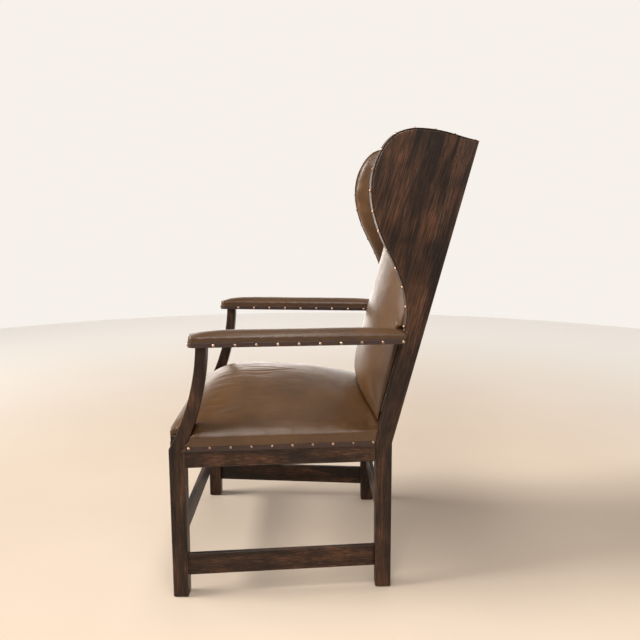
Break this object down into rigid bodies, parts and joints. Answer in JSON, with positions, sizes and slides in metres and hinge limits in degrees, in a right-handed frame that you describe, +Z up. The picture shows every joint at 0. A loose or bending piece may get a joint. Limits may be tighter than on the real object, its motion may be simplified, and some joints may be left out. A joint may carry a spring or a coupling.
{
  "type": "wingback armchair",
  "caption": "High-backed wing armchair with open padded arms, a domed leather seat and a nail-trimmed dark wood frame with stretchers",
  "frame": {"origin": "on the floor, under the middle of the chair's bounding box", "axes": "+Z up, the chair faces -Y, +X towards the left hand of the person who sits in it"},
  "size_m": [0.6686, 0.7156, 1.1058],
  "materials": {
    "dark_wood": "dark stained, satin",
    "inner_wood": "unfinished",
    "leather": "mid brown with a soft sheen",
    "leather_band": "dark red-brown strip",
    "nail_metal": "antique, domed",
    "steel": "plain",
    "hessian": "coarse plain weave",
    "webbing": "jute strap",
    "stuffing": "cotton felt over hair"
  },
  "bodies": {
    "root": {"arm_banding_left": "leather_band", "arm_banding_right": "leather_band", "arm_cover_left": "leather", "arm_cover_right": "leather", "arm_nails_left": "nail_metal", "arm_nails_right": "nail_metal", "arm_rail_left": "dark_wood", "arm_rail_right": "dark_wood", "arm_stuffing_left": "stuffing", "arm_stuffing_right": "stuffing", "back_cover": "leather", "back_hessian": "hessian", "back_lower_rail": "dark_wood", "back_stuffing": "stuffing", "back_top_rail": "dark_wood", "back_webbing": "webbing", "corner_block_screws": "steel", "corner_blocks": "inner_wood", "dust_cover": "hessian", "front_leg_left": "dark_wood", "front_leg_right": "dark_wood", "outside_back_cover": "leather", "outside_back_nails": "nail_metal", "rear_post_left": "dark_wood", "rear_post_right": "dark_wood", "seat_banding": "leather_band", "seat_cover": "leather", "seat_hessian": "hessian", "seat_nails": "nail_metal", "seat_rail_front": "dark_wood", "seat_rail_left": "dark_wood", "seat_rail_rear": "dark_wood", "seat_rail_right": "dark_wood", "seat_springs": "steel", "seat_stuffing": "stuffing", "seat_webbing": "webbing", "stretcher_front": "dark_wood", "stretcher_left": "dark_wood", "stretcher_rear": "dark_wood", "stretcher_right": "dark_wood", "wing_banding_left": "leather_band", "wing_banding_right": "leather_band", "wing_board_left": "dark_wood", "wing_board_right": "dark_wood", "wing_cover_left": "leather", "wing_cover_right": "leather", "wing_dowels_left": "inner_wood", "wing_dowels_right": "inner_wood", "wing_nails_left": "nail_metal", "wing_nails_right": "nail_metal", "wing_stuffing_left": "stuffing", "wing_stuffing_right": "stuffing"}
  },
  "joints": []
}
